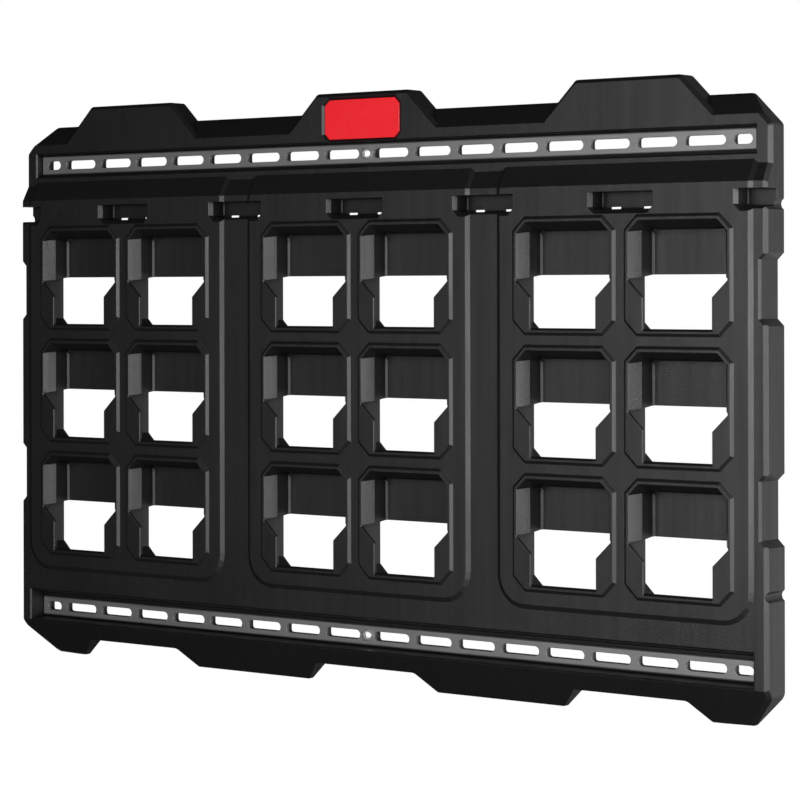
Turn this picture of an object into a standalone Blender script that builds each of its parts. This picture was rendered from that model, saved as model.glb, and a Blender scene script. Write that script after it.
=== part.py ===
"""Wall mounting plate for stacking tool boxes.

One large black moulding carries a grid of cleat pockets, a row of latch slots and two long
slotted steel rails that take the wall screws. Each rail is held by one blind rivet, and a bare
red badge sits in the middle tab of the header.

Metres, +Z up, +X to the right. The front faces -Y and the wall is the plane Y = 0. The origin is
the middle of the wall face. Depths are distances in front of the wall.
"""

import math

import bmesh
import bpy
from mathutils import Vector

# Overall plate
PLATE_WIDTH = 0.802
PLATE_HEIGHT = 0.510
HEADER_DEPTH = 0.0194
BASE_DEPTH = 0.0273
SKIN = 0.0035
RIB = 0.0025
EDGE_BEVEL = 0.003
CORNER_CUT = 0.025
UPPER_CORNER_RADIUS = 0.005
LOWER_CORNER_RADIUS = 0.010
CORNER_END_RADIUS = 0.006
OVERRUN = 0.002

# Groups of pockets, one group for each width of tool box, as a share of the plate width
GROUP_COUNT = 3
GROUP_PITCH_SHARE = 0.335162

# Header tabs and the troughs between them, widths by group and heights by plate height
TAB_WIDTH_SHARE = 0.493304
TAB_RISE_SHARE = 0.0323529
TAB_RADIUS = 0.0055
TROUGH_FALL_SHARE = 0.0333333
TROUGH_LIP = 0.0055

# Feet along the lower edge, which drop into the troughs of a plate mounted below
FOOT_WIDTH_SHARE = 0.602679
FOOT_SLOPE_SHARE = 0.0617647
FOOT_TIP_DEPTH = 0.0045
FOOT_TIP_RADIUS = 0.003
FOOT_ROOT_RADIUS = 0.006

# Sloping band under the header, which lets a box slide down into place, by plate height
BAND_FOOT_SHARE = 0.331373
BAND_HEIGHT_SHARE = 0.0341176

# Raised pads, one for each group
PAD_WIDTH_SHARE = 0.898438
PAD_LOW_SHARE = 0.343137
PAD_RISE = 0.0018
PAD_SPREAD = 0.0039
PAD_CORNER_RADIUS = 0.027

# Recesses and notches in the sides, placed by plate height
SIDE_RECESS_SHARE = 0.167451
SIDE_RECESS_LENGTH_SHARE = 0.111373
SIDE_RECESS_DEPTH = 0.0056
SIDE_RECESS_BEVEL = 0.0018
SIDE_NOTCH_SHARE = 0.296863
SIDE_NOTCH_RADIUS = 0.005
SIDE_NOTCH_DEPTH = 0.0025

# Cleat pockets, widths by group and column, heights by plate height and row
COLUMN_PITCH_SHARE = 0.401786
ROW_COUNT = 3
ROW_PITCH_SHARE = 0.204706
GRID_DROP_SHARE = 0.0151961
RIM_WIDTH_SHARE = 0.883333
RIM_HEIGHT_SHARE = 0.881226
RIM_RISE = 0.0019
RIM_SPREAD = 0.0024
RIM_CUT = 0.0105
RIM_LAND = 0.0023
LEAD_IN_DEPTH = 0.0102
LEAD_IN_STEP = 0.0068
LEAD_IN_TOP_STEP = 0.0050
BUCKET_CUT = 0.0030
BUCKET_DRAFT = 0.0008
PANEL_DEPTH = 0.0055
PANEL_THICKNESS = 0.002
PANEL_CHAMFER = 0.0016
LEDGE_RISE = 0.0006
THROAT_WIDTH_SHARE = 0.90463
THROAT_CUT = 0.0105
THROAT_DROP = 0.0045
THROAT_HEAD_FALL = 0.0032
FLANGE_GAP_SHARE = 0.583333
FLANGE_THICKNESS = 0.003
FLANGE_START_SHARE = 0.545652
FLANGE_RUN_SHARE = 0.144565
FLANGE_EDGE = 0.0006
LIP_SLOPE = 0.0014

# Latch slots, at the middle of each group, between groups and at both ends
LATCH_LENGTH_SHARE = 0.226935
LATCH_HEIGHT_SHARE = 0.0345098
LATCH_TOP_SHARE = 0.320588
LATCH_CUT = 0.0055
LATCH_INNER_CUT = 0.002
LATCH_FLOOR_DEPTH = 0.0108
LATCH_LEAD_DEPTH = 0.0038
LATCH_LEAD_STEP = 0.0025
LATCH_LEAD_RISE = 0.0036
LATCH_CHAMFER = 0.001
LATCH_WALL = 0.0018
LATCH_LIP = 0.0022
DRAIN_OFFSET_SHARE = 0.250820
DRAIN_LENGTH_SHARE = 0.163934

# Rail grooves and rails, placed by plate height
RAIL_SPACING_SHARE = 0.810784
RAIL_DROP_SHARE = 0.00852941
RAIL_LENGTH_SHARE = 0.963840
RAIL_HEIGHT = 0.017
RAIL_THICKNESS = 0.0027
RAIL_EDGE_RADIUS = 0.0012
GROOVE_FLOOR = 0.0089
GROOVE_END_GAP = 0.0006
GROOVE_MOUTH = 0.0012
UPPER_GROOVE_TOP = 0.0014
UPPER_GROOVE_BOTTOM = 0.0025
LOWER_GROOVE_TOP = 0.0033
LOWER_GROOVE_BOTTOM = 0.0013
LOWER_GROOVE_TOP_DRAFT = 0.0044
LOWER_GROOVE_BOTTOM_DRAFT = 0.0013
LOWER_GROOVE_END_DRAFT = 0.0012
BACK_CHANNEL_DEPTH = 0.0029
BACK_CHANNEL_HEIGHT = 0.013
SEAT_GAP = 0.0003

# Screw slots through rails and groove floors, as shares of the rail length
SLOTS_PER_SIDE = 8
SLOT_PITCH_SHARE = 0.0575032
SLOT_LENGTH_SHARE = 0.0485123
SLOT_CENTRE_LAND_SHARE = 0.0200517
END_SLOT_LENGTH_SHARE = 0.0219922
END_SLOT_LAND_SHARE = 0.00905563
SLOT_HEIGHT = 0.008
FLOOR_SLOT_SPREAD = 0.0016
FLOOR_SLOT_HEIGHT = 0.0086
FLOOR_SLOT_RADIUS = 0.002
SLOT_ARC_STEPS = 6

# Blind rivets
RIVET_HEAD_RADIUS = 0.0050
RIVET_HEAD_HEIGHT = 0.0028
RIVET_BRIM = 0.0005
RIVET_SHANK_RADIUS = 0.0024
RIVET_BORE_RADIUS = 0.0013
RIVET_TAIL_RADIUS = 0.0037
RIVET_TAIL_LENGTH = 0.0008
RIVET_RECESS_RADIUS = 0.0055
RIVET_RECESS_DEPTH = 0.0055
MANDREL_HEAD_RADIUS = 0.0021
MANDREL_HEAD_LENGTH = 0.0012
MANDREL_SINK = 0.0004
RIVET_SEGMENTS = 20
DOME_STEPS = 5

# Badge in the middle tab
BADGE_WIDTH_SHARE = 0.607843
BADGE_HEIGHT_SHARE = 0.0666667
BADGE_PLACE_SHARE = 0.454902
BADGE_THICKNESS = 0.0012
BADGE_CUT = 0.005
BADGE_EDGE = 0.0003
BADGE_SINK = 0.0010
BADGE_BORDER = 0.0004
BADGE_FLARE = 0.0022

# Colours and finishes
BLACK_PLASTIC = ((0.018, 0.018, 0.019, 1.0), 0.5, 0.0)
GREY_STEEL = ((0.13, 0.135, 0.14, 1.0), 0.45, 0.6)
BRIGHT_ALUMINIUM = ((0.72, 0.73, 0.74, 1.0), 0.3, 1.0)
DULL_STEEL = ((0.35, 0.35, 0.36, 1.0), 0.45, 1.0)
RED_BADGE = ((0.70, 0.012, 0.018, 1.0), 0.4, 0.0)

# Widths worked out from the plate width
HALF_WIDTH = PLATE_WIDTH / 2
GROUP_PITCH = PLATE_WIDTH * GROUP_PITCH_SHARE
COLUMN_PITCH = GROUP_PITCH * COLUMN_PITCH_SHARE
TAB_WIDTH = GROUP_PITCH * TAB_WIDTH_SHARE
FOOT_WIDTH = GROUP_PITCH * FOOT_WIDTH_SHARE
PAD_WIDTH = GROUP_PITCH * PAD_WIDTH_SHARE
RIM_WIDTH = COLUMN_PITCH * RIM_WIDTH_SHARE
THROAT_WIDTH = COLUMN_PITCH * THROAT_WIDTH_SHARE
FLANGE_GAP = COLUMN_PITCH * FLANGE_GAP_SHARE
LATCH_LENGTH = GROUP_PITCH * LATCH_LENGTH_SHARE
DRAIN_OFFSET = LATCH_LENGTH * DRAIN_OFFSET_SHARE
DRAIN_LENGTH = LATCH_LENGTH * DRAIN_LENGTH_SHARE
RAIL_LENGTH = PLATE_WIDTH * RAIL_LENGTH_SHARE
SLOT_PITCH = RAIL_LENGTH * SLOT_PITCH_SHARE
SLOT_LENGTH = RAIL_LENGTH * SLOT_LENGTH_SHARE
SLOT_CENTRE_LAND = RAIL_LENGTH * SLOT_CENTRE_LAND_SHARE
END_SLOT_LENGTH = RAIL_LENGTH * END_SLOT_LENGTH_SHARE
END_SLOT_LAND = RAIL_LENGTH * END_SLOT_LAND_SHARE
BADGE_WIDTH = TAB_WIDTH * BADGE_WIDTH_SHARE

# Heights worked out from the plate height
TAB_RISE = PLATE_HEIGHT * TAB_RISE_SHARE
TROUGH_FALL = PLATE_HEIGHT * TROUGH_FALL_SHARE
TOP_Z = PLATE_HEIGHT / 2
LOW_Z = -PLATE_HEIGHT / 2
SHOULDER_Z = TOP_Z - TAB_RISE
FOOT_ROOT_Z = LOW_Z + TAB_RISE
FOOT_SLOPE_HEIGHT = PLATE_HEIGHT * FOOT_SLOPE_SHARE
BAND_FOOT_Z = PLATE_HEIGHT * BAND_FOOT_SHARE
BAND_HEIGHT = PLATE_HEIGHT * BAND_HEIGHT_SHARE
PAD_LOW_Z = -PLATE_HEIGHT * PAD_LOW_SHARE
SIDE_RECESS_Z = PLATE_HEIGHT * SIDE_RECESS_SHARE
SIDE_RECESS_LENGTH = PLATE_HEIGHT * SIDE_RECESS_LENGTH_SHARE
SIDE_NOTCH_Z = PLATE_HEIGHT * SIDE_NOTCH_SHARE
ROW_PITCH = PLATE_HEIGHT * ROW_PITCH_SHARE
GRID_DROP = PLATE_HEIGHT * GRID_DROP_SHARE
RIM_HEIGHT = ROW_PITCH * RIM_HEIGHT_SHARE
FLANGE_START = RIM_HEIGHT * FLANGE_START_SHARE
FLANGE_RUN = RIM_HEIGHT * FLANGE_RUN_SHARE
LATCH_TOP_Z = PLATE_HEIGHT * LATCH_TOP_SHARE
LATCH_LOW_Z = LATCH_TOP_Z - PLATE_HEIGHT * LATCH_HEIGHT_SHARE
LATCH_SILL_Z = LATCH_LOW_Z + LATCH_LEAD_RISE
RAIL_SPACING = PLATE_HEIGHT * RAIL_SPACING_SHARE
RAIL_DROP = PLATE_HEIGHT * RAIL_DROP_SHARE
UPPER_RAIL_Z = RAIL_SPACING / 2 - RAIL_DROP
LOWER_RAIL_Z = -RAIL_SPACING / 2 - RAIL_DROP
BADGE_HEIGHT = PLATE_HEIGHT * BADGE_HEIGHT_SHARE
BADGE_Z = PLATE_HEIGHT * BADGE_PLACE_SHARE

# Depths worked out from the sizes above
PAD_DEPTH = BASE_DEPTH + PAD_RISE
RIM_DEPTH = PAD_DEPTH + RIM_RISE
RAIL_FRONT = GROOVE_FLOOR + SEAT_GAP + RAIL_THICKNESS
BAND_SLOPE = BAND_HEIGHT / (PAD_DEPTH - HEADER_DEPTH)


def group_centres():
    """X of the middle of each group of pockets."""
    first = -(GROUP_COUNT - 1) / 2
    return [(first + index) * GROUP_PITCH for index in range(GROUP_COUNT)]


def column_centres():
    """X of the middle of each pocket column, two to a group."""
    return [centre + side * COLUMN_PITCH / 2 for centre in group_centres() for side in (-1, 1)]


def row_centres():
    """Z of the middle of each pocket row, from the top down."""
    first = (ROW_COUNT - 1) / 2
    return [(first - index) * ROW_PITCH - GRID_DROP for index in range(ROW_COUNT)]


def latch_centres():
    """X of the middle of each latch slot, half a group apart from edge to edge."""
    return [index * GROUP_PITCH / 2 for index in range(-GROUP_COUNT, GROUP_COUNT + 1)]


def foot_centres():
    """X of the middle of each foot: between the groups and at both ends."""
    return [(index - GROUP_COUNT / 2) * GROUP_PITCH for index in range(GROUP_COUNT + 1)]


def screw_slots():
    """Centre X and length of each screw slot, the same in rails and groove floors."""
    slots = []
    for side in (-1, 1):
        start = SLOT_CENTRE_LAND / 2
        for index in range(SLOTS_PER_SIDE):
            slots.append((side * (start + SLOT_LENGTH / 2 + index * SLOT_PITCH), SLOT_LENGTH))
        last_end = start + (SLOTS_PER_SIDE - 1) * SLOT_PITCH + SLOT_LENGTH
        slots.append((side * (last_end + END_SLOT_LAND + END_SLOT_LENGTH / 2), END_SLOT_LENGTH))
    return slots


def clear_scene():
    """Remove every object, so the model starts from nothing."""
    for item in list(bpy.data.objects):
        bpy.data.objects.remove(item, do_unlink=True)


def material(name, finish):
    """Principled material from a colour, a roughness and a metallic value."""
    colour, roughness, metallic = finish
    result = bpy.data.materials.new(name)
    result.use_nodes = True
    shader = result.node_tree.nodes["Principled BSDF"]
    shader.inputs["Base Color"].default_value = colour
    shader.inputs["Roughness"].default_value = roughness
    shader.inputs["Metallic"].default_value = metallic
    result.diffuse_color = colour
    return result


def new_object(name, mesh_data):
    """Turn a bmesh with outward faces into an object in the scene."""
    bmesh.ops.recalc_face_normals(mesh_data, faces=mesh_data.faces)
    mesh = bpy.data.meshes.new(name)
    mesh_data.to_mesh(mesh)
    mesh_data.free()
    result = bpy.data.objects.new(name, mesh)
    bpy.context.collection.objects.link(result)
    return result


def add_loft(mesh_data, rings):
    """Close a solid over a list of rings, each a list of points of equal count."""
    loops = [[mesh_data.verts.new(point) for point in ring] for ring in rings]
    count = len(loops[0])
    for low, high in zip(loops, loops[1:]):
        for index in range(count):
            following = (index + 1) % count
            mesh_data.faces.new((low[index], low[following], high[following], high[index]))
    mesh_data.faces.new(list(reversed(loops[0])))
    mesh_data.faces.new(loops[-1])


def front_rings(sections):
    """Rings from pairs of an (x, z) outline and its distance in front of the wall."""
    return [[Vector((x, -depth, z)) for x, z in outline] for outline, depth in sections]


def side_rings(profile, x_low, x_high):
    """Two rings of a (depth, z) profile, for a bar that runs along X."""
    return [[Vector((x, -depth, z)) for depth, z in profile] for x in (x_low, x_high)]


def inset(outline, amount):
    """Move every edge of a counter-clockwise (x, z) outline inwards by an amount."""
    count = len(outline)
    result = []
    for index in range(count):
        before = Vector(outline[index - 1])
        here = Vector(outline[index])
        after = Vector(outline[(index + 1) % count])
        first = (here - before).normalized()
        second = (after - here).normalized()
        normal = Vector((-first.y - second.y, first.x + second.x))
        share = normal.length_squared / 2
        moved = here + normal * (amount / share)
        result.append((moved.x, moved.y))
    return result


def box_outline(x_low, x_high, z_low, z_high):
    """Counter-clockwise rectangle."""
    return [(x_low, z_low), (x_high, z_low), (x_high, z_high), (x_low, z_high)]


def cut_box_outline(centre_x, width, z_low, z_high, low_cut, high_cut):
    """Rectangle with its lower and upper corners cut at 45 degrees."""
    left = centre_x - width / 2
    right = centre_x + width / 2
    points = []
    if low_cut:
        points += [(left, z_low + low_cut), (left + low_cut, z_low)]
        points += [(right - low_cut, z_low), (right, z_low + low_cut)]
    else:
        points += [(left, z_low), (right, z_low)]
    if high_cut:
        points += [(right, z_high - high_cut), (right - high_cut, z_high)]
        points += [(left + high_cut, z_high), (left, z_high - high_cut)]
    else:
        points += [(right, z_high), (left, z_high)]
    return points


def arc(centre, radius, start, end, steps):
    """Points along an arc, angles in degrees, both ends included."""
    points = []
    for index in range(steps + 1):
        angle = math.radians(start + (end - start) * index / steps)
        points.append((centre[0] + radius * math.cos(angle), centre[1] + radius * math.sin(angle)))
    return points


def fillet(corners, steps):
    """Outline from (x, z, radius) corners, each one rounded by its radius."""
    count = len(corners)
    points = []
    for index in range(count):
        here = Vector(corners[index][:2])
        radius = corners[index][2]
        if radius == 0:
            points.append((here.x, here.y))
            continue
        before = (Vector(corners[index - 1][:2]) - here).normalized()
        after = (Vector(corners[(index + 1) % count][:2]) - here).normalized()
        half = before.angle(after) / 2
        centre = here + (before + after).normalized() * (radius / math.sin(half))
        first = here + before * (radius / math.tan(half)) - centre
        second = here + after * (radius / math.tan(half)) - centre
        turn = first.angle_signed(second)
        for step in range(steps + 1):
            angle = -turn * step / steps
            x = first.x * math.cos(angle) - first.y * math.sin(angle)
            z = first.x * math.sin(angle) + first.y * math.cos(angle)
            points.append((centre.x + x, centre.y + z))
    return points


def slot_outline(centre_x, centre_z, length, height, steps):
    """Slot with round ends."""
    radius = height / 2
    reach = length / 2 - radius
    right = arc((centre_x + reach, centre_z), radius, -90, 90, steps)
    left = arc((centre_x - reach, centre_z), radius, 90, 270, steps)
    return right + left


def apply_modifiers(target):
    """Replace a mesh by what its modifiers make of it."""
    graph = bpy.context.evaluated_depsgraph_get()
    baked = bpy.data.meshes.new_from_object(target.evaluated_get(graph))
    target.modifiers.clear()
    target.data = baked


def combine(target, other, operation):
    """Join, cut or intersect a solid with another one, which is then removed."""
    step = target.modifiers.new(operation.lower(), "BOOLEAN")
    step.operation = operation
    step.solver = "EXACT"
    step.object = other
    apply_modifiers(target)
    bpy.data.objects.remove(other, do_unlink=True)


def bevel_front_rim(target, width, reach):
    """Cut the edge where side walls meet the surfaces that face forwards, beyond a reach in X."""
    mesh_data = bmesh.new()
    mesh_data.from_mesh(target.data)
    flat = math.radians(0.5)
    bmesh.ops.dissolve_limit(mesh_data, angle_limit=flat, verts=mesh_data.verts, edges=mesh_data.edges)
    side_share = 0.02
    front_share = 0.3
    rim = []
    for edge in mesh_data.edges:
        if len(edge.link_faces) != 2 or min(abs(vert.co.x) for vert in edge.verts) < reach:
            continue
        front, side = sorted(edge.link_faces, key=lambda face: face.normal.y)
        if front.normal.y < -front_share and abs(side.normal.y) < side_share:
            rim.append(edge)
    bmesh.ops.bevel(mesh_data, geom=rim, offset=width, segments=1, affect="EDGES")
    mesh_data.to_mesh(target.data)
    mesh_data.free()


def smooth_arcs(target, degrees):
    """Smooth shading over arcs, with edges kept sharp from an angle in degrees upwards."""
    target.data.shade_smooth()
    target.data.set_sharp_from_angle(angle=math.radians(degrees))


def lofted(name, section_lists):
    """One object that holds a closed solid for each list of sections."""
    mesh_data = bmesh.new()
    for sections in section_lists:
        add_loft(mesh_data, front_rings(sections))
    return new_object(name, mesh_data)


def bars(name, pieces):
    """One object that holds a closed bar for each profile and pair of ends."""
    mesh_data = bmesh.new()
    for profile, x_low, x_high in pieces:
        add_loft(mesh_data, side_rings(profile, x_low, x_high))
    return new_object(name, mesh_data)


def lower_corners():
    """Lower edge of the plate from left to right, with its feet."""
    corners = []
    limit = HALF_WIDTH - CORNER_CUT
    for centre in foot_centres():
        root = FOOT_WIDTH / 2
        tip = root - TAB_RISE
        steps = [
            (-root, FOOT_ROOT_Z, FOOT_ROOT_RADIUS),
            (-tip, LOW_Z, FOOT_TIP_RADIUS),
            (tip, LOW_Z, FOOT_TIP_RADIUS),
            (root, FOOT_ROOT_Z, FOOT_ROOT_RADIUS),
        ]
        corners += [(centre + x, z, radius) for x, z, radius in steps if abs(centre + x) < limit]
    return corners


def plate_outline():
    """Outline of the plate up to its shoulders, counter-clockwise, without the header tabs."""
    inner = HALF_WIDTH - CORNER_CUT
    right = [
        (inner, LOW_Z, CORNER_END_RADIUS),
        (HALF_WIDTH, LOW_Z + CORNER_CUT, LOWER_CORNER_RADIUS),
        (HALF_WIDTH, SHOULDER_Z - CORNER_CUT, UPPER_CORNER_RADIUS),
        (inner, SHOULDER_Z, CORNER_END_RADIUS),
    ]
    left = [(-x, z, radius) for x, z, radius in reversed(right)]
    return fillet(lower_corners() + right + left, 4)


def side_recess_outline(side, centre_z):
    """Recess in one side, its ends at 45 degrees."""
    half = SIDE_RECESS_LENGTH / 2 + OVERRUN
    outer = HALF_WIDTH + OVERRUN
    inner = HALF_WIDTH - SIDE_RECESS_DEPTH
    rise = SIDE_RECESS_DEPTH + OVERRUN
    points = [(outer, centre_z - half), (outer, centre_z + half)]
    points += [(inner, centre_z + half - rise), (inner, centre_z - half + rise)]
    if side < 0:
        points = [(-x, z) for x, z in reversed(points)]
    return points


def cut_sides(body):
    """Cut the recesses with bevelled fronts and the half-round notches into both sides."""
    recesses = []
    notches = []
    reach = HALF_WIDTH + SIDE_NOTCH_RADIUS - SIDE_NOTCH_DEPTH
    for side in (-1, 1):
        for level in (-1, 1):
            recess = side_recess_outline(side, level * SIDE_RECESS_Z)
            spread = inset(recess, -SIDE_RECESS_BEVEL - OVERRUN)
            bend = BASE_DEPTH - SIDE_RECESS_BEVEL
            recesses.append([(recess, -OVERRUN), (recess, bend), (spread, BASE_DEPTH + OVERRUN)])
            centre = (side * reach, level * SIDE_NOTCH_Z)
            notch = arc(centre, SIDE_NOTCH_RADIUS, 0, 330, 11)
            notches.append([(notch, -OVERRUN), (notch, BASE_DEPTH + OVERRUN)])
    combine(body, lofted("side_recesses", recesses), "DIFFERENCE")
    combine(body, lofted("side_notches", notches), "DIFFERENCE")


def main_profile():
    """Section of the plate from wall to front, as (depth, z) points, overlong at both ends."""
    return [
        (0, LOW_Z - OVERRUN),
        (FOOT_TIP_DEPTH, LOW_Z - OVERRUN),
        (FOOT_TIP_DEPTH, LOW_Z),
        (BASE_DEPTH, LOW_Z + FOOT_SLOPE_HEIGHT),
        (BASE_DEPTH, BAND_FOOT_Z),
        (HEADER_DEPTH, BAND_FOOT_Z + (BASE_DEPTH - HEADER_DEPTH) * BAND_SLOPE),
        (HEADER_DEPTH, SHOULDER_Z - TROUGH_FALL),
        (TROUGH_LIP, SHOULDER_Z),
        (TROUGH_LIP, SHOULDER_Z + OVERRUN),
        (0, SHOULDER_Z + OVERRUN),
    ]


def make_slab():
    """Plate body: the section run from side to side, trimmed to the outline."""
    body = bars("plate", [(main_profile(), -HALF_WIDTH - OVERRUN, HALF_WIDTH + OVERRUN)])
    outline = plate_outline()
    trimmer = lofted("trimmer", [[(outline, -OVERRUN), (outline, BASE_DEPTH + OVERRUN)]])
    combine(body, trimmer, "INTERSECT")
    bevel_front_rim(body, EDGE_BEVEL, HALF_WIDTH - CORNER_CUT - EDGE_BEVEL)
    return body


def make_tabs():
    """Three tabs on the header, their slopes at 45 degrees."""
    parts = []
    root = TAB_WIDTH / 2
    deep = TROUGH_FALL + EDGE_BEVEL + 2 * OVERRUN
    for centre in group_centres():
        tip = root - TAB_RISE
        foot = root + deep
        low = SHOULDER_Z - deep
        corners = [(-foot, low, 0), (foot, low, 0), (tip, TOP_Z, TAB_RADIUS), (-tip, TOP_Z, TAB_RADIUS)]
        moved = [(centre + x, z) for x, z in fillet(corners, 4)]
        inner = inset(moved, EDGE_BEVEL)
        sections = [(moved, 0), (moved, HEADER_DEPTH - EDGE_BEVEL), (inner, HEADER_DEPTH)]
        parts.append(sections)
    tabs = lofted("tabs", parts)
    under = SHOULDER_Z - TROUGH_FALL - OVERRUN
    floor = box_outline(-PLATE_WIDTH, PLATE_WIDTH, under - PLATE_HEIGHT, under)
    trimmer = lofted("trimmer", [[(floor, -OVERRUN), (floor, HEADER_DEPTH + OVERRUN)]])
    combine(tabs, trimmer, "DIFFERENCE")
    return tabs


def pad_outline(centre):
    """Pad outline: left side from the top down, two round lower corners, right side up."""
    half = PAD_WIDTH / 2
    radius = PAD_CORNER_RADIUS
    high = BAND_FOOT_Z + BAND_HEIGHT + OVERRUN * BAND_SLOPE
    steps = 6
    points = [(centre - half, high), (centre - half, BAND_FOOT_Z)]
    points += arc((centre - half + radius, PAD_LOW_Z + radius), radius, 180, 270, steps)
    points += arc((centre + half - radius, PAD_LOW_Z + radius), radius, 270, 360, steps)
    return points + [(centre + half, BAND_FOOT_Z), (centre + half, high)]


def pad_ring(centre, depth, amount):
    """Pad outline drawn in by an amount, its upper end laid back along the sloping band."""
    ring = []
    for x, z in inset(pad_outline(centre), amount):
        back = max(0.0, z - BAND_FOOT_Z) / BAND_SLOPE
        ring.append(Vector((x, back - depth, z)))
    return ring


def make_pads():
    """Raised pads with sloping edges, rooted a little way into the slab."""
    mesh_data = bmesh.new()
    root = OVERRUN
    for centre in group_centres():
        rings = [
            pad_ring(centre, BASE_DEPTH - root, -PAD_SPREAD * root / PAD_RISE),
            pad_ring(centre, PAD_DEPTH, PAD_SPREAD),
        ]
        low, high = [[mesh_data.verts.new(point) for point in ring] for ring in rings]
        count = len(low)
        for index in range(count):
            following = (index + 1) % count
            mesh_data.faces.new((low[index], low[following], high[following], high[index]))
        for ring in (low, high):
            mesh_data.faces.new(ring[1:-1])
            mesh_data.faces.new((ring[0], ring[1], ring[-2], ring[-1]))
    return new_object("pads", mesh_data)


def rim_outline(centre_x, centre_z):
    """Outline of one raised pocket rim, its corners cut at 45 degrees."""
    low = centre_z - RIM_HEIGHT / 2
    return cut_box_outline(centre_x, RIM_WIDTH, low, low + RIM_HEIGHT, RIM_CUT, RIM_CUT)


def pocket_places():
    """Centre of every pocket."""
    return [(x, z) for z in row_centres() for x in column_centres()]


def make_rims():
    """Raised rims with bevelled edges, rooted a little way into the pads."""
    root = OVERRUN
    parts = []
    for x, z in pocket_places():
        face = rim_outline(x, z)
        spread = inset(face, -RIM_SPREAD * (RIM_RISE + root) / RIM_RISE)
        parts.append([(spread, PAD_DEPTH - root), (face, RIM_DEPTH)])
    return lofted("rims", parts)


def mouth_outline(centre_x, centre_z, low):
    """Mouth of a pocket between its two flanges, from its lip up to the lead-in."""
    land = RIM_WIDTH / 2 - RIM_LAND
    narrow = FLANGE_GAP / 2
    shoulder = centre_z + RIM_HEIGHT / 2 - FLANGE_START
    high = centre_z + LEDGE_RISE - THROAT_HEAD_FALL
    right = [(narrow, low), (narrow, shoulder - FLANGE_RUN), (land, shoulder), (land, high)]
    left = [(-x, z) for x, z in reversed(right)]
    return [(centre_x + x, z) for x, z in right + left]


def bucket_outline(centre_x, low, high, side, cut):
    """Upper half of a pocket between two heights, drawn in from its rim by a side step."""
    width = RIM_WIDTH - 2 * (RIM_LAND + side)
    return cut_box_outline(centre_x, width, low, high, 0, cut)


def head_z(centre_z, depth):
    """Height of the ceiling of a throat at a depth, falling from the panel to the flanges."""
    share = (depth - PANEL_DEPTH) / (RIM_DEPTH - FLANGE_THICKNESS - PANEL_DEPTH)
    return centre_z + LEDGE_RISE - THROAT_HEAD_FALL * min(1.0, share)


def bucket_sections(x, z):
    """Upper half of a pocket: chamfered panel, straight walls and a flared lead-in."""
    top = z + RIM_HEIGHT / 2 - RIM_LAND
    bend = RIM_DEPTH - LEAD_IN_DEPTH
    chamfer = PANEL_DEPTH + PANEL_CHAMFER
    wall_top = top - LEAD_IN_TOP_STEP
    back_top = wall_top - BUCKET_DRAFT
    back_step = LEAD_IN_STEP + BUCKET_DRAFT
    rim_cut = RIM_CUT - RIM_LAND * (2 - math.sqrt(2))
    lows = [head_z(z, depth) - OVERRUN for depth in (PANEL_DEPTH, chamfer, bend, RIM_DEPTH)]
    panel = bucket_outline(x, lows[0], back_top - PANEL_CHAMFER, back_step + PANEL_CHAMFER, BUCKET_CUT)
    back = bucket_outline(x, lows[1], back_top, back_step, BUCKET_CUT)
    front = bucket_outline(x, lows[2], wall_top, LEAD_IN_STEP, BUCKET_CUT)
    rim = bucket_outline(x, lows[3], top, 0, rim_cut)
    return [
        (panel, PANEL_DEPTH),
        (back, chamfer),
        (front, bend),
        (rim, RIM_DEPTH),
        (rim, RIM_DEPTH + OVERRUN),
    ]


def throat_sections(x, z):
    """Lower half of a pocket behind its flanges, open through to the wall."""
    low = z - RIM_HEIGHT / 2 + RIM_LAND - THROAT_DROP
    front = RIM_DEPTH - FLANGE_THICKNESS
    sections = []
    for depth, head_depth in ((-OVERRUN, PANEL_DEPTH), (PANEL_DEPTH, PANEL_DEPTH), (front, front)):
        high = head_z(z, head_depth)
        sections.append((cut_box_outline(x, THROAT_WIDTH, low, high, THROAT_CUT, 0), depth))
    return sections


def mouth_sections(x, z):
    """Mouth through the flanges, its lower side sloping and its front edge bevelled."""
    low = z - RIM_HEIGHT / 2 + RIM_LAND
    back = mouth_outline(x, z, low + LIP_SLOPE)
    front = mouth_outline(x, z, low)
    edge = inset(front, -FLANGE_EDGE)
    start = RIM_DEPTH - FLANGE_THICKNESS - SEAT_GAP
    bevel = RIM_DEPTH - FLANGE_EDGE
    return [(back, start), (front, bevel), (edge, RIM_DEPTH), (edge, RIM_DEPTH + OVERRUN)]


def cut_pockets(body):
    """Cut mouth, upper bucket and lower throat of every pocket."""
    places = pocket_places()
    combine(body, lofted("throats", [throat_sections(x, z) for x, z in places]), "DIFFERENCE")
    combine(body, lofted("buckets", [bucket_sections(x, z) for x, z in places]), "DIFFERENCE")
    combine(body, lofted("mouths", [mouth_sections(x, z) for x, z in places]), "DIFFERENCE")


def cut_panel_backs(body):
    """Hollow behind each pocket panel, so the panel stays a thin wall."""
    cells = []
    for x, z in pocket_places():
        high = z + RIM_HEIGHT / 2 - RIM_LAND - LEAD_IN_TOP_STEP - BUCKET_DRAFT - SKIN
        low = z + LEDGE_RISE - OVERRUN
        outline = bucket_outline(x, low, high, LEAD_IN_STEP + BUCKET_DRAFT + SKIN, BUCKET_CUT)
        cells.append([(outline, -OVERRUN), (outline, PANEL_DEPTH - PANEL_THICKNESS)])
    combine(body, lofted("panel_backs", cells), "DIFFERENCE")


def groove_outline(z_low, z_high, spread):
    """Rectangle of a groove at one level, spread at both ends."""
    half = RAIL_LENGTH / 2 + GROOVE_END_GAP + spread
    return box_outline(-half, half, z_low, z_high)


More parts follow.
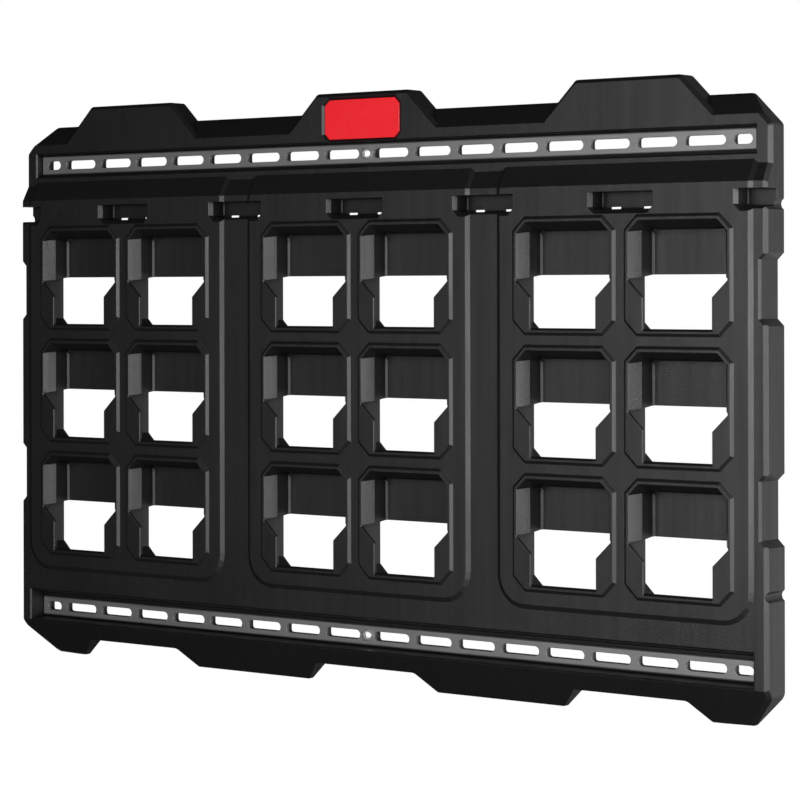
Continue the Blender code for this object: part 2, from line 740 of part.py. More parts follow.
def upper_groove_sections():
    """Straight walled groove with a bevelled mouth."""
    low = UPPER_RAIL_Z - RAIL_HEIGHT / 2 - UPPER_GROOVE_BOTTOM
    high = UPPER_RAIL_Z + RAIL_HEIGHT / 2 + UPPER_GROOVE_TOP
    outline = groove_outline(low, high, 0)
    spread = inset(outline, -GROOVE_MOUTH - OVERRUN)
    bend = HEADER_DEPTH - GROOVE_MOUTH
    return [(outline, GROOVE_FLOOR), (outline, bend), (spread, HEADER_DEPTH + OVERRUN)]


def lower_groove_sections():
    """Deeper groove with sloping long walls and a bevelled mouth."""
    low = LOWER_RAIL_Z - RAIL_HEIGHT / 2 - LOWER_GROOVE_BOTTOM
    high = LOWER_RAIL_Z + RAIL_HEIGHT / 2 + LOWER_GROOVE_TOP
    floor = groove_outline(low, high, 0)
    low -= LOWER_GROOVE_BOTTOM_DRAFT
    high += LOWER_GROOVE_TOP_DRAFT
    wide = groove_outline(low, high, LOWER_GROOVE_END_DRAFT)
    spread = inset(wide, -GROOVE_MOUTH - OVERRUN)
    return [(floor, GROOVE_FLOOR), (wide, BASE_DEPTH - GROOVE_MOUTH), (spread, BASE_DEPTH + OVERRUN)]


def cut_grooves(body):
    """Cut both rail grooves, the channels behind their floors and the screw slots between."""
    grooves = [upper_groove_sections(), lower_groove_sections()]
    combine(body, lofted("grooves", grooves), "DIFFERENCE")
    slots = []
    channels = []
    half = BACK_CHANNEL_HEIGHT / 2
    reach = RAIL_LENGTH / 2 - RIB
    for rail_z in (UPPER_RAIL_Z, LOWER_RAIL_Z):
        channel = box_outline(-reach, reach, rail_z - half, rail_z + half)
        channels.append([(channel, -OVERRUN), (channel, BACK_CHANNEL_DEPTH)])
        for centre, length in screw_slots():
            outline = floor_slot_outline(centre, rail_z, length)
            slots.append([(outline, -OVERRUN), (outline, GROOVE_FLOOR + OVERRUN)])
    combine(body, lofted("back_channels", channels), "DIFFERENCE")
    combine(body, lofted("floor_slots", slots), "DIFFERENCE")


def floor_slot_outline(centre, rail_z, length):
    """Slot in a groove floor: a little longer and higher than the one in the rail."""
    left = centre - length / 2 - FLOOR_SLOT_SPREAD
    right = centre + length / 2 + FLOOR_SLOT_SPREAD
    nearest = SLOT_CENTRE_LAND / 2 - SEAT_GAP
    if left > 0:
        left = max(left, nearest)
    if right < 0:
        right = min(right, -nearest)
    low = rail_z - FLOOR_SLOT_HEIGHT / 2
    high = rail_z + FLOOR_SLOT_HEIGHT / 2
    radius = FLOOR_SLOT_RADIUS
    corners = [(left, low, radius), (right, low, radius), (right, high, radius), (left, high, radius)]
    return fillet(corners, 2)


def rail_slot_sections(rail_z, low_depth, high_depth):
    """Screw slots of one rail between two depths."""
    sections = []
    for x, length in screw_slots():
        outline = slot_outline(x, rail_z, length, SLOT_HEIGHT, SLOT_ARC_STEPS)
        sections.append([(outline, low_depth), (outline, high_depth)])
    return sections


def latch_outline(centre, step, z_low, cut):
    """Latch slot with its lower corners cut, drawn in at both ends by a step."""
    return cut_box_outline(centre, LATCH_LENGTH - 2 * step, z_low, LATCH_TOP_Z, cut, 0)


def latch_sections(centre):
    """Latch slot: flared front, straight walls and a chamfer round its back wall."""
    cut = LATCH_INNER_CUT
    outer = latch_outline(centre, 0, LATCH_LOW_Z, LATCH_CUT)
    inner = latch_outline(centre, LATCH_LEAD_STEP, LATCH_SILL_Z, cut)
    sill = LATCH_SILL_Z + LATCH_CHAMFER
    panel = latch_outline(centre, LATCH_LEAD_STEP + LATCH_CHAMFER, sill, cut)
    bend = PAD_DEPTH - LATCH_LEAD_DEPTH
    chamfer = LATCH_FLOOR_DEPTH + LATCH_CHAMFER
    return [
        (panel, LATCH_FLOOR_DEPTH),
        (inner, chamfer),
        (inner, bend),
        (outer, PAD_DEPTH),
        (outer, PAD_DEPTH + OVERRUN),
    ]


def cut_latches(body):
    """Cut the latch slots, the hollows behind them and the drain slits below their back walls."""
    slots = []
    hollows = []
    drains = []
    reach = LATCH_LENGTH / 2 - LATCH_LEAD_STEP
    limit = HALF_WIDTH - SIDE_RECESS_DEPTH - SKIN
    back = LATCH_FLOOR_DEPTH - LATCH_WALL
    for centre in latch_centres():
        slots.append(latch_sections(centre))
        if abs(centre) > limit:
            continue
        hollow = box_outline(centre - reach, centre + reach, LATCH_SILL_Z, LATCH_TOP_Z)
        hollows.append([(hollow, -OVERRUN), (hollow, back)])
        for side in (-1, 1):
            middle = centre + side * DRAIN_OFFSET
            half = DRAIN_LENGTH / 2
            slit = box_outline(middle - half, middle + half, LATCH_SILL_Z, LATCH_SILL_Z + LATCH_LIP)
            drains.append([(slit, back - OVERRUN), (slit, LATCH_FLOOR_DEPTH + 2 * LATCH_CHAMFER)])
    combine(body, lofted("latch_slots", slots), "DIFFERENCE")
    combine(body, lofted("latch_hollows", hollows), "DIFFERENCE")
    combine(body, lofted("drains", drains), "DIFFERENCE")


def badge_outline(grow):
    """Badge outline with cut corners, spread by an amount."""
    low = BADGE_Z - BADGE_HEIGHT / 2
    outline = cut_box_outline(0, BADGE_WIDTH, low, low + BADGE_HEIGHT, BADGE_CUT, BADGE_CUT)
    return inset(outline, -grow)


def cut_badge_seat(body):
    """Shallow seat for the badge, its walls flaring towards the front."""
    floor = HEADER_DEPTH - BADGE_SINK - BADGE_THICKNESS - SEAT_GAP
    seat = badge_outline(BADGE_BORDER)
    mouth = badge_outline(BADGE_BORDER + BADGE_FLARE + OVERRUN)
    sections = [(seat, floor), (seat, HEADER_DEPTH - BADGE_FLARE), (mouth, HEADER_DEPTH + OVERRUN)]
    combine(body, lofted("badge_seat", [sections]), "DIFFERENCE")


def cell(x_low, x_high, z_low, z_high, depth, draft):
    """Moulding hollow from the wall side, narrowing towards the front by its draft."""
    mouth = box_outline(x_low, x_high, z_low, z_high)
    return [(mouth, -OVERRUN), (mouth, 0), (inset(mouth, draft), depth)]


def split(low, high, count, wall):
    """Equal spans between two limits with walls between them."""
    step = (high - low + wall) / count
    return [(low + index * step, low + (index + 1) * step - wall) for index in range(count)]


def pocket_cells():
    """Hollows between the pockets of a group and between its rows."""
    cells = []
    straight = RIM_WIDTH / 2 - RIM_LAND - LEAD_IN_STEP
    half = COLUMN_PITCH / 2 - straight - SKIN
    rim_half = COLUMN_PITCH / 2 - RIM_WIDTH / 2 + RIM_LAND - SKIN
    draft = max(0.0, half - rim_half - RIM_LAND)
    deep = RIM_DEPTH - SKIN - RIM_RISE
    for row in row_centres():
        low = row + LEDGE_RISE + 2 * SKIN + PANEL_DEPTH
        high = row + RIM_HEIGHT / 2 - RIM_LAND - LEAD_IN_TOP_STEP - SKIN
        for centre in group_centres():
            cells.append(cell(centre - half, centre + half, low, high, deep, draft))
    for upper, lower in zip(row_centres(), row_centres()[1:]):
        high = upper - RIM_HEIGHT / 2 + RIM_LAND - THROAT_DROP - SKIN
        low = lower + RIM_HEIGHT / 2 - RIM_LAND + SKIN
        for column in column_centres():
            reach = straight - RIB
            cells.append(cell(column - reach, column + reach, low, high, deep, 0))
    return cells


def channel_cells():
    """Hollows in the channels between groups and along both sides."""
    cells = []
    outer_pocket = COLUMN_PITCH / 2 + THROAT_WIDTH / 2 + SKIN
    spans = []
    for left, right in zip(group_centres(), group_centres()[1:]):
        spans.append((left + outer_pocket, right - outer_pocket))
    inner = group_centres()[-1] + outer_pocket
    outer = HALF_WIDTH - SIDE_RECESS_DEPTH - SKIN
    spans += [(inner, outer), (-outer, -inner)]
    deep = BASE_DEPTH - SKIN
    for row in row_centres():
        low = row - ROW_PITCH / 2 + RIB / 2
        high = row + ROW_PITCH / 2 - RIB / 2
        for x_low, x_high in spans:
            for z_low, z_high in split(low, high, 2, RIB):
                cells.append(cell(x_low, x_high, z_low, z_high, deep, RIB / 2))
    return cells


def lower_cells():
    """Hollows between the lowest pockets and the lower groove."""
    high = row_centres()[-1] - ROW_PITCH / 2 - RIB / 2
    groove = LOWER_RAIL_Z + RAIL_HEIGHT / 2 + LOWER_GROOVE_TOP + LOWER_GROOVE_TOP_DRAFT
    low = groove + GROOVE_MOUTH + RIB
    outer = HALF_WIDTH - SKIN
    count = 5 * GROUP_COUNT
    return [cell(a, b, low, high, BASE_DEPTH - SKIN, RIB / 2) for a, b in split(-outer, outer, count, RIB)]


def upper_cells():
    """Hollows between the latch slots, up to the upper groove."""
    cells = []
    low = row_centres()[0] + RIM_HEIGHT / 2 - RIM_LAND + SKIN
    high = UPPER_RAIL_Z - RAIL_HEIGHT / 2 - UPPER_GROOVE_BOTTOM - SKIN
    deep = HEADER_DEPTH - SKIN
    for left, right in zip(latch_centres(), latch_centres()[1:]):
        x_low = left + LATCH_LENGTH / 2 + SKIN
        x_high = right - LATCH_LENGTH / 2 - SKIN
        for a, b in split(x_low, x_high, 2, RIB):
            cells.append(cell(a, b, low, high, deep, RIB / 2))
    return cells


def tab_cells():
    """Hollows behind the header tabs, one on each side of a middle rib."""
    cells = []
    low = UPPER_RAIL_Z + RAIL_HEIGHT / 2 + UPPER_GROOVE_TOP + GROOVE_MOUTH + RIB
    high = TOP_Z - SKIN
    deep = HEADER_DEPTH - BADGE_SINK - BADGE_THICKNESS - SEAT_GAP - SKIN
    reach = TAB_WIDTH / 2 - TAB_RISE - SKIN
    for centre in group_centres():
        for a, b in split(centre - reach, centre + reach, 2, RIB):
            cells.append(cell(a, b, low, high, deep, RIB / 2))
    return cells


def foot_hollows():
    """Wedge hollows behind the feet, which follow the sloping front."""
    high = LOWER_RAIL_Z - RAIL_HEIGHT / 2 - LOWER_GROOVE_BOTTOM - LOWER_GROOVE_BOTTOM_DRAFT - RIB
    low = LOW_Z + SKIN
    slope = (BASE_DEPTH - FOOT_TIP_DEPTH) / FOOT_SLOPE_HEIGHT
    low_deep = FOOT_TIP_DEPTH + slope * SKIN - SKIN
    high_deep = BASE_DEPTH - SKIN - slope * max(0.0, LOW_Z + FOOT_SLOPE_HEIGHT - high)
    profile = [(-OVERRUN, low), (low_deep, low), (high_deep, high), (-OVERRUN, high)]
    pieces = []
    reach = FOOT_WIDTH / 2 - TAB_RISE - SKIN
    limit = HALF_WIDTH - CORNER_CUT - SKIN
    for centre in foot_centres():
        left = max(centre - reach, -limit)
        right = min(centre + reach, limit)
        for a, b in split(left, right, 2, RIB):
            pieces.append((profile, a, b))
    return pieces


def hollow_back(body):
    """Cut the moulding hollows into the wall side and leave a lattice of ribs."""
    cells = pocket_cells() + channel_cells() + lower_cells() + upper_cells() + tab_cells()
    combine(body, lofted("cells", cells), "DIFFERENCE")
    combine(body, bars("foot_hollows", foot_hollows()), "DIFFERENCE")


def round_hole_outline(centre_z, radius):
    """Round outline on the middle line, as many sided as a rivet."""
    return arc((0, centre_z), radius, 0, 360 - 360 / RIVET_SEGMENTS, RIVET_SEGMENTS - 1)


def cut_rivet_seats(body):
    """Rivet holes through the groove floors, with a recess for the tail on the wall side."""
    holes = []
    recesses = []
    for rail_z in (UPPER_RAIL_Z, LOWER_RAIL_Z):
        hole = round_hole_outline(rail_z, RIVET_SHANK_RADIUS + SEAT_GAP)
        recess = round_hole_outline(rail_z, RIVET_RECESS_RADIUS)
        holes.append([(hole, -OVERRUN), (hole, GROOVE_FLOOR + OVERRUN)])
        recesses.append([(recess, -OVERRUN), (recess, RIVET_RECESS_DEPTH)])
    combine(body, lofted("rivet_holes", holes), "DIFFERENCE")
    combine(body, lofted("rivet_recesses", recesses), "DIFFERENCE")


def make_plate():
    """The moulding: slab, tabs, pads and rims joined, then everything cut out of it."""
    body = make_slab()
    cut_sides(body)
    combine(body, make_tabs(), "UNION")
    combine(body, make_pads(), "UNION")
    combine(body, make_rims(), "UNION")
    cut_pockets(body)
    cut_panel_backs(body)
    cut_latches(body)
    cut_grooves(body)
    cut_badge_seat(body)
    cut_rivet_seats(body)
    hollow_back(body)
    body.data.materials.clear()
    body.data.materials.append(material("black_plastic", BLACK_PLASTIC))
    smooth_arcs(body, 23.5)
    return body


def rail_profile(rail_z):
    """Section of a rail with its front edges rounded."""
    back = GROOVE_FLOOR + SEAT_GAP
    half = RAIL_HEIGHT / 2
    radius = RAIL_EDGE_RADIUS
    low = arc((RAIL_FRONT - radius, rail_z - half + radius), radius, -90, 0, 3)
    high = arc((RAIL_FRONT - radius, rail_z + half - radius), radius, 0, 90, 3)
    return [(back, rail_z - half)] + low + high + [(back, rail_z + half)]


def make_rail(name, rail_z):
    """Slotted steel rail."""
    rail = bars(name, [(rail_profile(rail_z), -RAIL_LENGTH / 2, RAIL_LENGTH / 2)])
    slots = rail_slot_sections(rail_z, GROOVE_FLOOR - OVERRUN, RAIL_FRONT + OVERRUN)
    combine(rail, lofted("slots", slots), "DIFFERENCE")
    hole = round_hole_outline(rail_z, RIVET_SHANK_RADIUS + SEAT_GAP)
    sections = [(hole, GROOVE_FLOOR - OVERRUN), (hole, RAIL_FRONT + OVERRUN)]
    combine(rail, lofted("hole", [sections]), "DIFFERENCE")
    rail.data.materials.clear()
    rail.data.materials.append(material(name + "_steel", GREY_STEEL))
    smooth_arcs(rail, 32)
    return rail


def turned(name, profile, rail_z, finish):
    """Round piece from (radius, depth) points, centred on a rivet hole."""
    mesh_data = bmesh.new()
    rings = []
    for radius, depth in profile:
        if radius == 0:
            rings.append([mesh_data.verts.new((0, -depth, rail_z))])
            continue
        ring = []
        for index in range(RIVET_SEGMENTS):
            angle = math.tau * index / RIVET_SEGMENTS
            point = (radius * math.cos(angle), -depth, rail_z + radius * math.sin(angle))
            ring.append(mesh_data.verts.new(point))
        rings.append(ring)
    closed = profile[0][0] != 0
    pairs = list(zip(rings, rings[1:]))
    if closed:
        pairs.append((rings[-1], rings[0]))
    for low, high in pairs:
        for index in range(RIVET_SEGMENTS):
            following = (index + 1) % RIVET_SEGMENTS
            if len(low) == 1:
                mesh_data.faces.new((low[0], high[index], high[following]))
            elif len(high) == 1:
                mesh_data.faces.new((low[index], low[following], high[0]))
            else:
                mesh_data.faces.new((low[index], low[following], high[following], high[index]))
    result = new_object(name, mesh_data)
    result.data.materials.append(material(name + "_metal", finish))
    smooth_arcs(result, 32)
    return result


def make_rivet(name, rail_z):
    """Blind rivet body: domed head, sleeve and spread tail, with a bore for its mandrel."""
    under = RAIL_FRONT + SEAT_GAP
    crown = under + RIVET_HEAD_HEIGHT
    tail_front = RIVET_RECESS_DEPTH - SEAT_GAP
    tail_back = tail_front - RIVET_TAIL_LENGTH
    bore = RIVET_BORE_RADIUS
    profile = [(bore, tail_back), (RIVET_TAIL_RADIUS, tail_back), (RIVET_TAIL_RADIUS, tail_front)]
    profile += [(RIVET_SHANK_RADIUS, tail_front), (RIVET_SHANK_RADIUS, under), (RIVET_HEAD_RADIUS, under)]
    rise = RIVET_HEAD_HEIGHT - RIVET_BRIM
    lip = math.acos(min(1.0, (bore + SEAT_GAP) / RIVET_HEAD_RADIUS))
    for index in range(DOME_STEPS + 1):
        angle = lip * index / DOME_STEPS
        depth = under + RIVET_BRIM + rise * math.sin(angle) / math.sin(lip)
        profile.append((RIVET_HEAD_RADIUS * math.cos(angle), depth))
    profile.append((bore, crown))
    return turned(name, profile, rail_z, BRIGHT_ALUMINIUM)


def make_mandrel(name, rail_z):
    """What is left of the mandrel in a set rivet: its head behind the tail and its broken stem."""
    tail_back = RIVET_RECESS_DEPTH - SEAT_GAP - RIVET_TAIL_LENGTH
    head_front = tail_back - SEAT_GAP
    head_back = head_front - MANDREL_HEAD_LENGTH
    stem = RIVET_BORE_RADIUS - SEAT_GAP
    end = RAIL_FRONT + SEAT_GAP + RIVET_HEAD_HEIGHT - MANDREL_SINK
    profile = [(0, head_back), (MANDREL_HEAD_RADIUS, head_back), (MANDREL_HEAD_RADIUS, head_front)]
    profile += [(stem, head_front), (stem, end), (0, end)]
    return turned(name, profile, rail_z, DULL_STEEL)


def make_badge():
    """Bare badge with a fine bevel round its face."""
    front = HEADER_DEPTH - BADGE_SINK
    outline = badge_outline(0)
    face = inset(outline, BADGE_EDGE)
    sections = [(outline, front - BADGE_THICKNESS), (outline, front - BADGE_EDGE), (face, front)]
    badge = lofted("badge", [sections])
    badge.data.materials.append(material("red_badge", RED_BADGE))
    return badge


def build():
    """Make every piece of the wall plate."""
    clear_scene()
    make_plate()
    for side, rail_z in (("upper", UPPER_RAIL_Z), ("lower", LOWER_RAIL_Z)):
        make_rail(side + "_rail", rail_z)
        make_rivet(side + "_rail_rivet", rail_z)
        make_mandrel(side + "_rail_rivet_mandrel", rail_z)
    make_badge()


build()
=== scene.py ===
# Looks of the wall mounting plate: studio, camera and the finish of every piece.
# Metres and degrees throughout: +X right, +Z up, the front of the plate faces -Y.
import math

import bpy
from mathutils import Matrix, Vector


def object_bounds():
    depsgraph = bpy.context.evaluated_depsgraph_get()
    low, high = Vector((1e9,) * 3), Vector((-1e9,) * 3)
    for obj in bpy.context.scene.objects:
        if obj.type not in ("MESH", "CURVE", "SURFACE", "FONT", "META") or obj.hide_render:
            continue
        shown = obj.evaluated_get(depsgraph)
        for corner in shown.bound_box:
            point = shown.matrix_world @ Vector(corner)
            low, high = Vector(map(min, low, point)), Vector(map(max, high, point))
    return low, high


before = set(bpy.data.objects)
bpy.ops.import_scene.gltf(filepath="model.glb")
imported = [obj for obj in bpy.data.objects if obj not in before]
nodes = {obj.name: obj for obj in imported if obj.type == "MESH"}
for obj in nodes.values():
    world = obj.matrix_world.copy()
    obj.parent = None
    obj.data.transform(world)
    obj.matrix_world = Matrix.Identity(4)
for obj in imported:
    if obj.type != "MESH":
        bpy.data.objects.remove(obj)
cad_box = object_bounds()
scene = bpy.context.scene

WHITE = (1.0, 1.0, 1.0, 1.0)


# Camera, fitted to the slots, pockets and outline in the photograph

PHOTO_SIZE = 800
HORIZON_ROW = 286.18
FOCAL_PIXELS = 2781.73
SENSOR_WIDTH = 36.0
CAMERA_PLACE = (1.46987, -1.89295, 0.08843)
CAMERA_PITCH = 90.0
CAMERA_ROLL = 0.125
CAMERA_HEADING = 37.315
CAMERA_NEAR = 0.05
CAMERA_FAR = 60.0


def make_camera():
    data = bpy.data.cameras.new("camera")
    data.sensor_width = SENSOR_WIDTH
    data.lens = FOCAL_PIXELS / PHOTO_SIZE * SENSOR_WIDTH
    data.shift_y = (HORIZON_ROW - PHOTO_SIZE / 2) / PHOTO_SIZE
    data.clip_start = CAMERA_NEAR
    data.clip_end = CAMERA_FAR
    camera = bpy.data.objects.new("camera", data)
    camera.location = CAMERA_PLACE
    camera.rotation_euler = [math.radians(turn) for turn in (CAMERA_PITCH, CAMERA_ROLL, CAMERA_HEADING)]
    scene.collection.objects.link(camera)
    scene.camera = camera


# Shader helpers

NOISE_MIDDLE = (0.3, 0.7)   # where most of a noise lies


def math_node(tree, operation, first, second):
    node = tree.nodes.new("ShaderNodeMath")
    node.operation = operation
    tree.links.new(first, node.inputs[0])
    tree.links.new(second, node.inputs[1])
    return node.outputs[0]


def map_range(tree, value, source, target, interpolation="LINEAR"):
    """A value taken from the source range to the target range, and held at its ends beyond."""
    node = tree.nodes.new("ShaderNodeMapRange")
    node.interpolation_type = interpolation
    for name, level in zip(("From Min", "From Max", "To Min", "To Max"), (*source, *target)):
        node.inputs[name].default_value = level
    tree.links.new(value, node.inputs["Value"])
    return node.outputs[0]


def ramp(tree, value, edge, low=0.0, high=1.0):
    """A value that goes softly from low at the start of the edge to high at its end."""
    return map_range(tree, value, edge, (low, high), "SMOOTHSTEP")


def spread(tree, value, span):
    """A noise with its middle spread over the span."""
    return map_range(tree, value, NOISE_MIDDLE, span)


def noise(tree, scale, detail, stretch=(1.0, 1.0, 1.0)):
    place = tree.nodes.new("ShaderNodeTexCoord")
    mapping = tree.nodes.new("ShaderNodeMapping")
    mapping.inputs["Scale"].default_value = stretch
    tree.links.new(place.outputs["Object"], mapping.inputs["Vector"])
    texture = tree.nodes.new("ShaderNodeTexNoise")
    texture.inputs["Scale"].default_value = scale
    texture.inputs["Detail"].default_value = detail
    tree.links.new(mapping.outputs["Vector"], texture.inputs["Vector"])
    return texture.outputs["Fac"]


# Studio: a white background, a pale floor and a dim room

ROOM_LEVEL = 0.012
BACKGROUND_LEVEL = 1.0
BACKDROP_EDGE = (0.86, 0.98)    # share of a reflected ray's direction that points behind the plate
FLOOR_DROP = 0.95
FLOOR_SIZE = 40.0
FLOOR_COLOUR = (0.10, 0.10, 0.10, 1.0)
FLOOR_ROUGHNESS = 0.9
FLOOR_GLOW_NEAR = 0.88
FLOOR_GLOW_REACH = (0.6, 2.6)
FLOOR_EDGE = (1.0, 3.0)         # metres behind the plate


def background_share(tree, place, edge):
    """1 for camera rays, and for reflected and refracted rays that land behind the edge."""
    path = tree.nodes.new("ShaderNodeLightPath")
    split = tree.nodes.new("ShaderNodeSeparateXYZ")
    tree.links.new(place, split.inputs[0])
    behind = ramp(tree, split.outputs["Y"], edge)
    bent = math_node(tree, "MAXIMUM", path.outputs["Is Glossy Ray"], path.outputs["Is Transmission Ray"])
    bent = math_node(tree, "MULTIPLY", bent, behind)
    return math_node(tree, "MAXIMUM", path.outputs["Is Camera Ray"], bent)


def white_light(tree, level):
    light = tree.nodes.new("ShaderNodeBackground")
    light.inputs["Color"].default_value = WHITE
    light.inputs["Strength"].default_value = level
    return light.outputs[0]


def make_world():
    world = bpy.data.worlds.new("studio")
    world.use_nodes = True
    tree = world.node_tree
    tree.nodes.clear()
    place = tree.nodes.new("ShaderNodeTexCoord")
    mix = tree.nodes.new("ShaderNodeMixShader")
    tree.links.new(background_share(tree, place.outputs["Generated"], BACKDROP_EDGE), mix.inputs["Fac"])
    tree.links.new(white_light(tree, ROOM_LEVEL), mix.inputs[1])
    tree.links.new(white_light(tree, BACKGROUND_LEVEL), mix.inputs[2])
    output = tree.nodes.new("ShaderNodeOutputWorld")
    tree.links.new(mix.outputs[0], output.inputs["Surface"])
    scene.world = world


def floor_finish():
    """A floor that keeps the plate's shadow and glows up to the background's white."""
    material, tree, surface = new_material("floor")
    surface.inputs["Base Color"].default_value = FLOOR_COLOUR
    surface.inputs["Roughness"].default_value = FLOOR_ROUGHNESS
    surface.inputs["Specular IOR Level"].default_value = 0.0
    surface.inputs["Emission Color"].default_value = WHITE
    place = tree.nodes.new("ShaderNodeTexCoord").outputs["Object"]
    reach = tree.nodes.new("ShaderNodeVectorMath")
    reach.operation = "LENGTH"
    tree.links.new(place, reach.inputs[0])
    glow = ramp(tree, reach.outputs["Value"], FLOOR_GLOW_REACH, FLOOR_GLOW_NEAR, BACKGROUND_LEVEL)
    glow = math_node(tree, "MULTIPLY", glow, background_share(tree, place, FLOOR_EDGE))
    tree.links.new(glow, surface.inputs["Emission Strength"])
    return material


def make_floor():
    low = cad_box[0].z - FLOOR_DROP
    half = FLOOR_SIZE / 2
    corners = [(-half, -half, low), (half, -half, low), (half, half, low), (-half, half, low)]
    mesh = bpy.data.meshes.new("floor")
    mesh.from_pydata(corners, [], [range(len(corners))])
    mesh.materials.append(floor_finish())
    floor = bpy.data.objects.new("floor", mesh)
    scene.collection.objects.link(floor)


# Lamps: azimuth from the front toward +X, elevation, distance, width, height and power in watts

LAMPS = {
    "key_softbox": (3.0, 2.0, 2.5, 2.0, 0.8, 34.0),
    "side_softbox": (43.0, 4.0, 1.7, 1.0, 0.6, 19.5),
    "rim_softbox": (88.0, 0.0, 1.6, 0.8, 1.3, 25.0),
}


def make_lamp(name, azimuth, elevation, distance, width, height, power):
    data = bpy.data.lights.new(name, "AREA")
    data.shape = "RECTANGLE"
    data.size = width
    data.size_y = height
    data.energy = power
    lamp = bpy.data.objects.new(name, data)
    scene.collection.objects.link(lamp)
    turn = math.radians(azimuth)
    rise = math.radians(elevation)
    away = Vector((math.cos(rise) * math.sin(turn), -math.cos(rise) * math.cos(turn), math.sin(rise)))
    lamp.location = away * distance
    lamp.rotation_euler = (-away).to_track_quat("-Z", "Y").to_euler()


# Finishes. A noise pattern is its scale per metre, its detail and, if uneven, its stretch.

EDGE_RADIUS = 0.0007
# Painted crease shade: how far the ambient occlusion looks, the span of occlusion over which the shade
# fades out, and the least share of reflection left in the deepest creases.
CREASE_SHADE_REACH = 0.012
CREASE_SHADE_EDGE = (0.30, 0.85)
CREASE_SHADE_LEVEL = 0.12
SIDE_SAMPLES = 6


def new_material(name):
    material = bpy.data.materials.new(name)
    material.use_nodes = True
    tree = material.node_tree
    return material, tree, tree.nodes["Principled BSDF"]


def mottle(tree, surface, dark, light, pattern):
    """A base colour that wanders between two shades."""
    shade = tree.nodes.new("ShaderNodeMixRGB")
    shade.inputs["Color1"].default_value = (*dark, 1.0)
    shade.inputs["Color2"].default_value = (*light, 1.0)
    tree.links.new(noise(tree, *pattern), shade.inputs["Fac"])
    tree.links.new(shade.outputs[0], surface.inputs["Base Color"])


def grain(tree, surface, pattern, height):
    """A fine bump over normals that are rounded along the edges, as a small radius turns them."""
    edge = tree.nodes.new("ShaderNodeBevel")
    edge.samples = SIDE_SAMPLES
    edge.inputs["Radius"].default_value = EDGE_RADIUS
    bump = tree.nodes.new("ShaderNodeBump")
    bump.inputs["Distance"].default_value = height
    bump.inputs["Strength"].default_value = 1.0
    tree.links.new(noise(tree, *pattern), bump.inputs["Height"])
    tree.links.new(edge.outputs["Normal"], bump.inputs["Normal"])
    tree.links.new(bump.outputs["Normal"], surface.inputs["Normal"])


def painted_crease_shade(tree):
    """Painted shade: 1 on open faces, falling in creases and deep gaps, where it dims the plastic's
    reflections.
    """
    node = tree.nodes.new("ShaderNodeAmbientOcclusion")
    node.samples = SIDE_SAMPLES
    node.inputs["Distance"].default_value = CREASE_SHADE_REACH
    return ramp(tree, node.outputs["AO"], CREASE_SHADE_EDGE, CREASE_SHADE_LEVEL)


def worn_finish(name, metallic, dark, light, shade_pattern, rough_span, rough_pattern):
    """A material whose shade and roughness both wander over the piece."""
    material, tree, surface = new_material(name)
    surface.inputs["Metallic"].default_value = metallic
    mottle(tree, surface, dark, light, shade_pattern)
    roughness = spread(tree, noise(tree, *rough_pattern), rough_span)
    tree.links.new(roughness, surface.inputs["Roughness"])
    return material, tree, surface


PLASTIC_DARK = (0.0044, 0.0044, 0.0046)
PLASTIC_LIGHT = (0.0058, 0.0058, 0.0060)
PLASTIC_PATCHES = (9.0, 4.0)
PLASTIC_STREAKS = (130.0, 5.0, (1.0, 1.0, 0.05))
PLASTIC_CLOUDS = (14.0, 3.0)
PLASTIC_GRAIN = (1300.0, 1.0)
PLASTIC_GRAIN_HEIGHT = 0.00018
PLASTIC_ROUGHNESS = (0.395, 0.445)
PLASTIC_WEAR = (-0.015, 0.015)
PLASTIC_GLOSS = (0.63, 0.47)


def black_plastic():
    """Satin moulding with soft upright flow streaks in its roughness and specular level, and painted
    shade that dims its reflections in creases and deep gaps.
    """
    material, tree, surface = new_material("black_plastic")
    mottle(tree, surface, PLASTIC_DARK, PLASTIC_LIGHT, PLASTIC_PATCHES)
    streaks = noise(tree, *PLASTIC_STREAKS)
    clouds = spread(tree, noise(tree, *PLASTIC_CLOUDS), PLASTIC_ROUGHNESS)
    wear = spread(tree, streaks, PLASTIC_WEAR)
    tree.links.new(math_node(tree, "ADD", clouds, wear), surface.inputs["Roughness"])
    # Painted shade: the specular level of the flow streaks is lowered in creases and deep gaps by the
    # ambient occlusion.
    gloss_and_crease_shade = math_node(tree, "MULTIPLY", spread(tree, streaks, PLASTIC_GLOSS), painted_crease_shade(tree))
    tree.links.new(gloss_and_crease_shade, surface.inputs["Specular IOR Level"])
    grain(tree, surface, PLASTIC_GRAIN, PLASTIC_GRAIN_HEIGHT)
    return material


STEEL_DARK = (0.235, 0.235, 0.238)
STEEL_LIGHT = (0.295, 0.295, 0.298)
STEEL_PATCHES = (40.0, 4.0)
STEEL_ROUGHNESS = (0.54, 0.66)
STEEL_BRUSHING = (300.0, 3.0, (0.03, 1.0, 1.0))
STEEL_GRAIN = (700.0, 2.0)
STEEL_GRAIN_HEIGHT = 0.00006


def grey_steel():
    """Rolled strip, brushed along its length."""
    material, tree, surface = worn_finish("grey_steel", 1.0, STEEL_DARK, STEEL_LIGHT, STEEL_PATCHES,
                                          STEEL_ROUGHNESS, STEEL_BRUSHING)
    grain(tree, surface, STEEL_GRAIN, STEEL_GRAIN_HEIGHT)
    return material


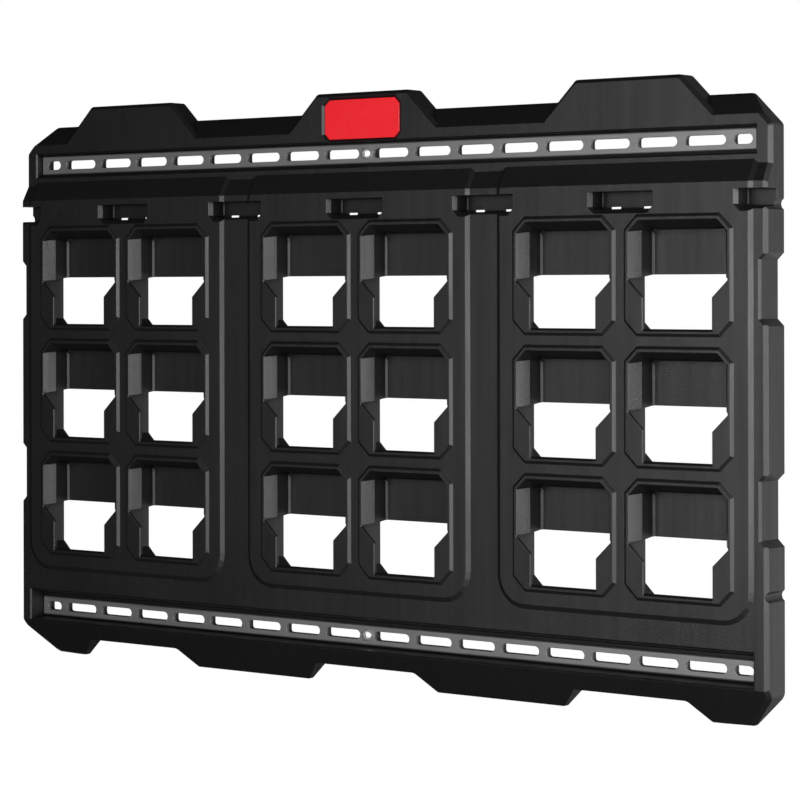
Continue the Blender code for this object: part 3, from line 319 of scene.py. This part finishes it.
ALUMINIUM_DARK = (0.88, 0.88, 0.89)
ALUMINIUM_LIGHT = (0.95, 0.95, 0.96)
ALUMINIUM_PATCHES = (500.0, 3.0)
ALUMINIUM_ROUGHNESS = (0.44, 0.54)
ALUMINIUM_WEAR = (900.0, 3.0)


def bright_aluminium():
    return worn_finish("bright_aluminium", 1.0, ALUMINIUM_DARK, ALUMINIUM_LIGHT, ALUMINIUM_PATCHES,
                       ALUMINIUM_ROUGHNESS, ALUMINIUM_WEAR)[0]


MANDREL_DARK = (0.55, 0.55, 0.56)
MANDREL_LIGHT = (0.68, 0.68, 0.69)
MANDREL_PATCHES = (2500.0, 3.0)
MANDREL_ROUGHNESS = (0.40, 0.58)
MANDREL_WEAR = (3000.0, 3.0)


def dull_steel():
    return worn_finish("dull_steel", 1.0, MANDREL_DARK, MANDREL_LIGHT, MANDREL_PATCHES,
                       MANDREL_ROUGHNESS, MANDREL_WEAR)[0]


BADGE_DARK = (0.78, 0.010, 0.018)
BADGE_LIGHT = (0.82, 0.014, 0.024)
BADGE_PATCHES = (60.0, 3.0)
BADGE_ROUGHNESS = (0.34, 0.42)
BADGE_WEAR = (200.0, 3.0)


def red_badge():
    return worn_finish("red_badge", 0.0, BADGE_DARK, BADGE_LIGHT, BADGE_PATCHES,
                       BADGE_ROUGHNESS, BADGE_WEAR)[0]


# The pieces of each finish, and the angle from which an edge between their faces stays sharp
FINISHES = (
    (black_plastic, 23.5, ("plate",)),
    (grey_steel, 32.0, ("upper_rail", "lower_rail")),
    (bright_aluminium, 32.0, ("upper_rail_rivet", "lower_rail_rivet")),
    (dull_steel, 32.0, ("upper_rail_rivet_mandrel", "lower_rail_rivet_mandrel")),
    (red_badge, 32.0, ("badge",)),
)


def finish_pieces():
    for finish, sharp_angle, names in FINISHES:
        material = finish()
        for name in names:
            mesh = nodes[name].data
            mesh.materials.clear()
            mesh.materials.append(material)
            mesh.shade_smooth()
            mesh.set_sharp_from_angle(angle=math.radians(sharp_angle))


scene.view_settings.view_transform = "Standard"
make_camera()
make_world()
make_floor()
for lamp_name, lamp_values in LAMPS.items():
    make_lamp(lamp_name, *lamp_values)
finish_pieces()
